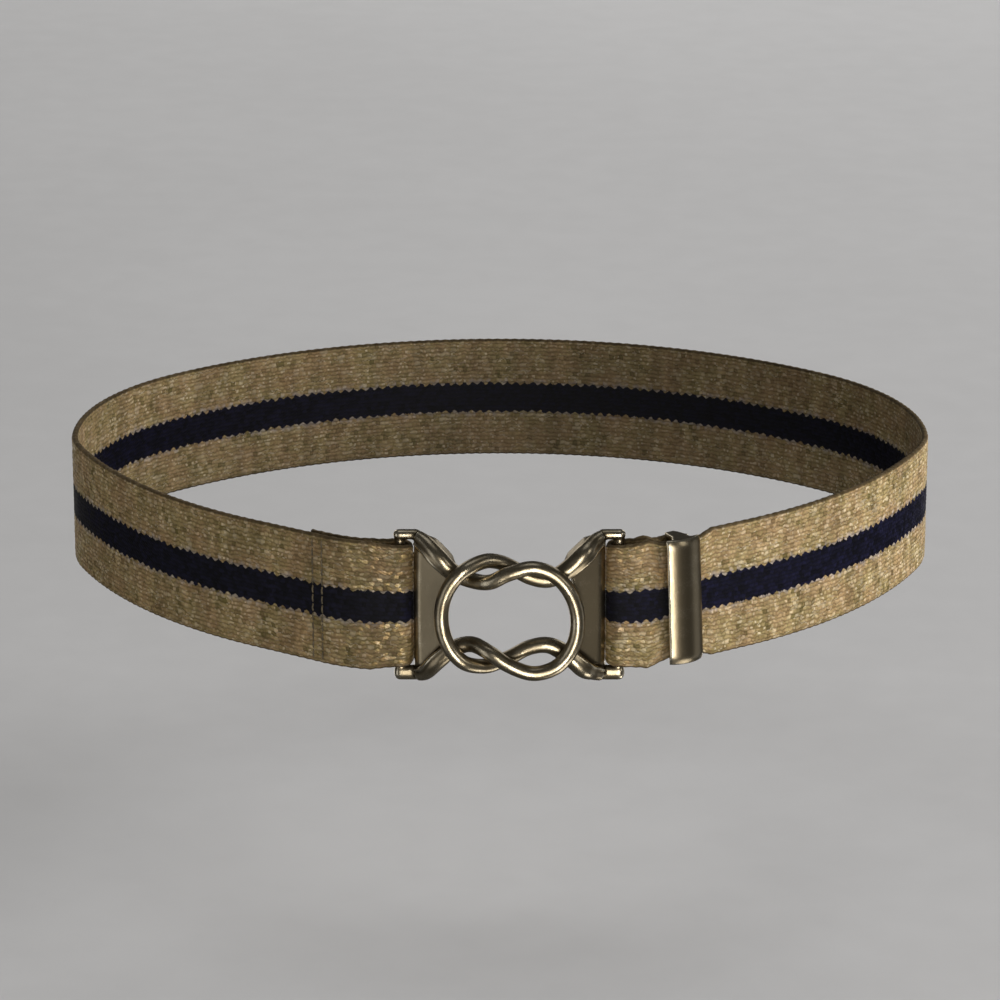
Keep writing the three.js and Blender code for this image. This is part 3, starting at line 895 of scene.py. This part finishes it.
def webbing_colour(tree, uv, weave, stripe, beside, edge, reverse):
    """Gold from deep to pale by chance, with bright, cream and olive grains and coppery patches; flecks,
    selvedges darkened brown by painted shade, and the stripe over it; all of it darkened by painted shade in
    the hollows between the ridges, and lighter and darker in long streaks."""
    speck, chance, chances = weave["speck"], weave["chance"], weave["chances"]
    patches = mottle(tree, uv, 120.0, 1500.0, 0.45)
    stretched = node(tree, "Mapping", {0: uv, "Scale": (1, 0.12, 1)}).outputs[0]
    streaks = noise(tree, stretched, 260.0, 2.0)[0]
    mixed = multiply_add(tree, speck, 0.6, multiply(tree, chance, 0.4))
    gold = blend_colour(tree, mixed, GOLD_DEEP, GOLD_PALE)
    gold = blend_colour(tree, ramp(tree, speck, 0.78, 1.0), gold, GOLD_BRIGHT)
    gold = blend_colour(tree, ramp(tree, chances[0], 0.86, 1.0), gold, GOLD_CREAM)
    gold = blend_colour(tree, ramp(tree, chances[2], 0.16, 0.0), gold, OLIVE)
    coppery = blend_colour(tree, 0.4, gold, COPPER)
    gold = blend_colour(tree, ramp(tree, patches, 0.4, 0.6), coppery, gold)
    gold = blend_colour(tree, multiply(tree, beside, 0.55), gold, FLECK)
    # painted shade along the selvedges, as a dark brown
    gold = blend_colour(tree, multiply(tree, edge, 0.85), gold, SELVEDGE_SHADE_BROWN)
    navy = blend_colour(tree, chance, NAVY_DEEP, NAVY_PALE)
    # painted shade in the hollows between the grains, from the ridge; the long streaks and the half as
    # bright reverse multiply in as well
    shade = ramp(tree, weave["ridge"], 0.0, 0.6, 0.66, 1.0)
    shade = multiply(tree, shade, ramp(tree, streaks, 0.3, 0.7, 0.82, 1.12))
    shade = multiply(tree, shade, multiply_add(tree, reverse, -0.5, 1.0))
    grey = node(tree, "CombineColor", {0: shade, 1: shade, 2: shade}).outputs[0]
    shaded = node(tree, "Mix", {0: 1.0, 6: blend_colour(tree, stripe, gold, navy), 7: grey},
                  data_type="RGBA", blend_type="MULTIPLY")
    return shaded.outputs[2]


def webbing_height(tree, uv, weave):
    """Height of the ridges, of a random lean of each grain, and of the twist of its threads."""
    turned = node(tree, "Mapping", {0: uv, "Rotation": (0, 0, math.radians(TWIST_ANGLE))}).outputs[0]
    twist = node(tree, "TexWave", {"Vector": turned, "Scale": 420.0, "Distortion": 1.5, "Detail": 1.0})
    lean = multiply(tree, weave["in_grain"], multiply_add(tree, weave["chances"][0], 2.0, -1.0))
    return multiply_add(tree, weave["ridge"], 0.8, multiply_add(tree, twist.outputs[1], 0.35, lean))


def webbing_material():
    """Gold grains with metallic thread in some, a navy stripe with a toothed border, selvedges darkened
    brown by painted shade, and a dull darker reverse."""
    material, tree, shader = new_material("webbing")
    uv = node(tree, "UVMap", uv_map="weave").outputs[0]
    along, across = node(tree, "SeparateXYZ", {0: uv}).outputs[:2]
    reverse = point_value(tree, "reverse")
    weave = weave_cells(tree, uv, along, across)
    stripe, beside = stripe_masks(tree, along, across, weave)
    edge = ramp(tree, math_node(tree, "ABSOLUTE", across), SELVEDGE, SELVEDGE + SELVEDGE_BLUR)
    plain = math_node(tree, "MAXIMUM", math_node(tree, "MAXIMUM", stripe, reverse), edge)
    metallic = math_node(tree, "SUBTRACT", 1.0, plain)
    glint = multiply(tree, ramp(tree, weave["chances"][1], 0.5, 0.95), metallic)
    height = webbing_height(tree, uv, weave)
    bump = node(tree, "Bump", {"Strength": 0.8, "Distance": 0.12 * MM, "Height": height})
    connect(tree, shader, Base_Color=webbing_colour(tree, uv, weave, stripe, beside, edge, reverse),
            Metallic=multiply(tree, glint, 0.4), Roughness=multiply_add(tree, glint, -0.24, 0.74),
            Normal=bump.outputs[0], Specular_IOR_Level=0.15)
    return material


def thread_material():
    """Brown sewing thread, lighter and darker along its length, with its twist in the bump."""
    material, tree, shader = new_material("sewing_thread")
    place = node(tree, "TexCoord").outputs["Object"]
    tone = mottle(tree, place, 300.0, 2500.0, 0.5)
    colour = blend_colour(tree, ramp(tree, tone, 0.35, 0.65), THREAD_DEEP, THREAD_PALE)
    twist = node(tree, "TexWave", {"Vector": place, "Scale": 900.0}, bands_direction="DIAGONAL")
    bump = node(tree, "Bump", {"Strength": 0.6, "Distance": 0.05 * MM, "Height": twist.outputs[1]})
    connect(tree, shader, Base_Color=colour, Roughness=0.6, Normal=bump.outputs[0])
    return material


def brass_material():
    """Antiqued brass: pale worn metal on the ridges, dark brown patina in the hollows, and in the inner
    corners a darker brown that is partly patina and partly painted shade; cloudy at two scales, with fine
    pits and rubbing marks in the bump."""
    material, tree, shader = new_material("antique_brass")
    place = node(tree, "TexCoord").outputs["Object"]
    wear_and_shade = point_value(tree, "wear_and_shade")
    cloud = mottle(tree, place, 260.0, 2400.0, 0.4)
    worn = math_node(tree, "ADD", wear_and_shade, multiply_add(tree, cloud, 0.6, -0.3))
    bare = ramp(tree, worn, 0.52, 0.92)
    colour = blend_colour(tree, bare, PATINA, BARE_METAL)
    # painted shade with patina: the inner corners turn a darker brown
    corner = ramp(tree, wear_and_shade, 0.3, 0.5, 1.0, 0.0)
    colour = blend_colour(tree, corner, colour, CORNER_PATINA_AND_SHADE)
    rough = ramp(tree, bare, 0.0, 1.0, 0.3, 0.2)
    rubbed = noise(tree, place, 1500.0, 4.0)[0]
    bump = node(tree, "Bump", {"Strength": 0.5, "Distance": 0.04 * MM, "Height": rubbed})
    connect(tree, shader, Base_Color=colour, Metallic=1.0, Roughness=rough, Normal=bump.outputs[0])
    return material


def floor_material():
    material, tree, shader = new_material("pale_floor")
    place = node(tree, "TexCoord").outputs["Object"]
    cloud = mottle(tree, place, 3.0, 60.0, 0.3)
    colour = blend_colour(tree, ramp(tree, cloud, 0.3, 0.7), FLOOR_GREY, FLOOR_PALE)
    connect(tree, shader, Base_Color=colour, Roughness=0.85, Specular_IOR_Level=0.0)
    return material


# Room

def make_floor():
    size = FLOOR_HALF_SIZE
    corners = [(x * size, y * size, FLOOR_Z) for x, y in ((-1, -1), (1, -1), (1, 1), (-1, 1))]
    floor = new_object("floor", corners, [[0, 1, 2, 3]], smooth=False)
    floor.data.materials.append(floor_material())
    floor.visible_glossy = False
    floor.visible_shadow = False


def direction(azimuth, elevation):
    """Unit vector towards a light; azimuth 0 is in front of the clasp and grows to the right."""
    a, e = math.radians(azimuth), math.radians(elevation)
    return np.array([math.sin(a) * math.cos(e), -math.cos(a) * math.cos(e), math.sin(e)])


def add_light(name, azimuth, elevation, distance, size, brightness, colour, metal_only):
    """A lit panel that faces the belt. One for the metal alone is seen only as a reflection, and
    any other shows in no reflection."""
    light = bpy.data.lights.new(name, "AREA")
    light.shape = "RECTANGLE"
    light.size, light.size_y = size
    light.energy = brightness * PANEL_ENERGY * size[0] * size[1]
    light.color = colour
    lamp = bpy.data.objects.new(name, light)
    lamp.location = direction(azimuth, elevation) * distance
    lamp.rotation_euler = (math.radians(90 - elevation), 0, math.radians(azimuth))
    lamp.visible_diffuse = not metal_only
    lamp.visible_glossy = metal_only
    bpy.context.scene.collection.objects.link(lamp)


def make_room():
    make_floor()
    for light in LIGHTS:
        add_light(*light, metal_only=False)
    for panel in METAL_PANELS:
        add_light(*panel, metal_only=True)
    world = bpy.data.worlds.new("studio")
    world.use_nodes = True
    background = world.node_tree.nodes["Background"].inputs
    background["Color"].default_value = (*WORLD_COLOUR, 1)
    background["Strength"].default_value = WORLD_STRENGTH
    bpy.context.scene.world = world
    bpy.context.scene.view_settings.view_transform = "Standard"


def make_camera():
    camera = bpy.data.objects.new("camera", bpy.data.cameras.new("camera"))
    camera.data.lens = FOCAL_LENGTH
    camera.data.sensor_width = 36
    camera.data.clip_start = 0.01
    camera.location = direction(0, VIEW_ELEVATION) * VIEW_DISTANCE
    camera.rotation_euler = (math.radians(90 - VIEW_ELEVATION), 0, 0)
    bpy.context.scene.collection.objects.link(camera)
    bpy.context.scene.camera = camera


# Assembly

def dress(piece, material):
    piece.data.materials.clear()
    piece.data.materials.append(material)
    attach(piece, "root")


make_camera()
make_room()
brass = brass_material()
webbing = make_webbing()
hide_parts("strap")
dress(webbing, webbing_material())
dress(make_stitches(), thread_material())
for half_name, half in CLASP_HALVES.items():
    dress(make_clasp_half(half_name, **half), brass)
dress(make_slider(), brass)
